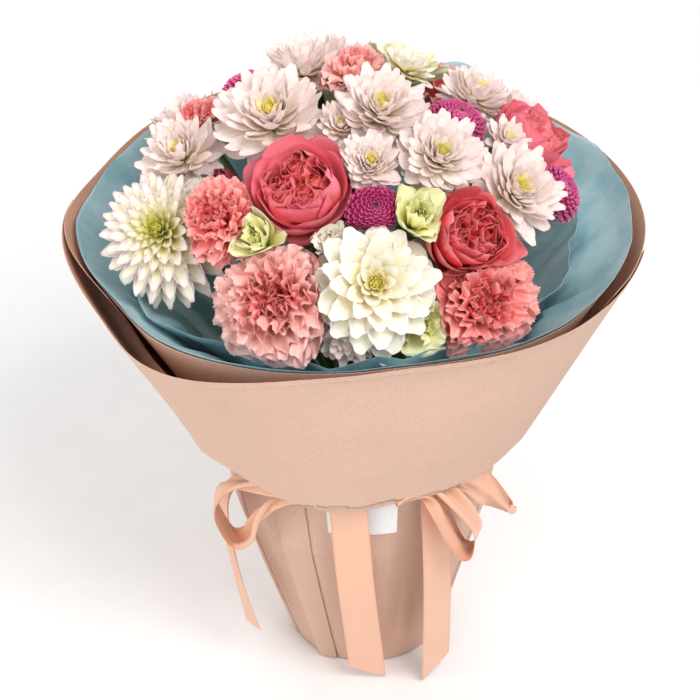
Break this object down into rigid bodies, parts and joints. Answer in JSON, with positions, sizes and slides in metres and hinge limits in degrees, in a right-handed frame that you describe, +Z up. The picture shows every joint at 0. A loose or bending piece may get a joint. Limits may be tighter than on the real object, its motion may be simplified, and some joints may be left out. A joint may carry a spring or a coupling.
{
  "type": "mixed flower bouquet",
  "caption": "Hand-tied mixed flower bouquet in layered paper and tissue with a satin ribbon bow and a blank card, standing upright on its spiralled stem ends.",
  "frame": {"origin": "on the surface the bouquet stands on, under the middle of the whole bouquet's box", "axes": "+Z up along the stems; -Y is the front with the bow and the card; +X is the right side as seen from the front"},
  "size_m": [0.3772, 0.3674, 0.4418],
  "materials": {
    "wrapping_paper": "matte kraft-like paper with a fine embossed rib, dusty peach outside, warm tan inside",
    "tissue_paper": "crumpled blue-grey tissue, slightly translucent",
    "satin_ribbon": "peach satin with a soft sheen and woven edges",
    "card": "blank white card",
    "twine": "natural fibre twine",
    "stem_green": "fresh green stems and leaves, satin",
    "blush_petal": "soft matte petal, white to blush with a green heart",
    "cream_petal": "soft matte petal, cream with a yellow throat",
    "lilac_petal": "soft matte petal, cream with lilac tips",
    "coral_petal": "ruffled coral petal",
    "pink_petal": "ruffled light pink petal",
    "rose_petal": "velvety coral petal with a magenta-pink edge",
    "magenta_petal": "small cupped magenta florets",
    "green_petal": "ruffled green-cream petal"
  },
  "bodies": {
    "root": {"card": "card", "carnation_back": "coral_petal", "carnation_far_left": "coral_petal", "carnation_front": "pink_petal", "carnation_left": "coral_petal", "carnation_right": "coral_petal", "carnation_top": "pink_petal", "dahlia_back": "lilac_petal", "dahlia_front": "cream_petal", "dahlia_left": "lilac_petal", "lisianthus_back": "green_petal", "lisianthus_cream": "cream_petal", "lisianthus_left": "green_petal", "lisianthus_low": "green_petal", "lisianthus_middle": "green_petal", "mum_back_a": "blush_petal", "mum_back_b": "blush_petal", "mum_back_c": "blush_petal", "mum_back_cream": "cream_petal", "mum_back_right": "blush_petal", "mum_far_left": "blush_petal", "mum_far_right": "blush_petal", "mum_low_front": "blush_petal", "mum_middle": "blush_petal", "mum_right": "blush_petal", "mum_top": "blush_petal", "mum_top_back": "blush_petal", "mum_top_left": "blush_petal", "mum_tucked_left": "blush_petal", "mum_tucked_right": "blush_petal", "pompon_back_right": "magenta_petal", "pompon_far_left": "magenta_petal", "pompon_far_right": "magenta_petal", "pompon_middle": "magenta_petal", "ribbon_band": "satin_ribbon", "ribbon_knot": "satin_ribbon", "ribbon_loop_far_right": "satin_ribbon", "ribbon_loop_left": "satin_ribbon", "ribbon_loop_right": "satin_ribbon", "ribbon_tail_centre": "satin_ribbon", "ribbon_tail_left": "satin_ribbon", "ribbon_tail_right": "satin_ribbon", "rose_back": "rose_petal", "rose_bud": "rose_petal", "rose_far_right": "rose_petal", "rose_left": "rose_petal", "rose_right": "rose_petal", "stems": "stem_green", "tissue_inner": "tissue_paper", "tissue_outer": "tissue_paper", "twine": "twine", "wrap_back": "wrapping_paper", "wrap_collar": "wrapping_paper", "wrap_flap": "wrapping_paper", "wrap_inner": "wrapping_paper"}
  },
  "joints": []
}
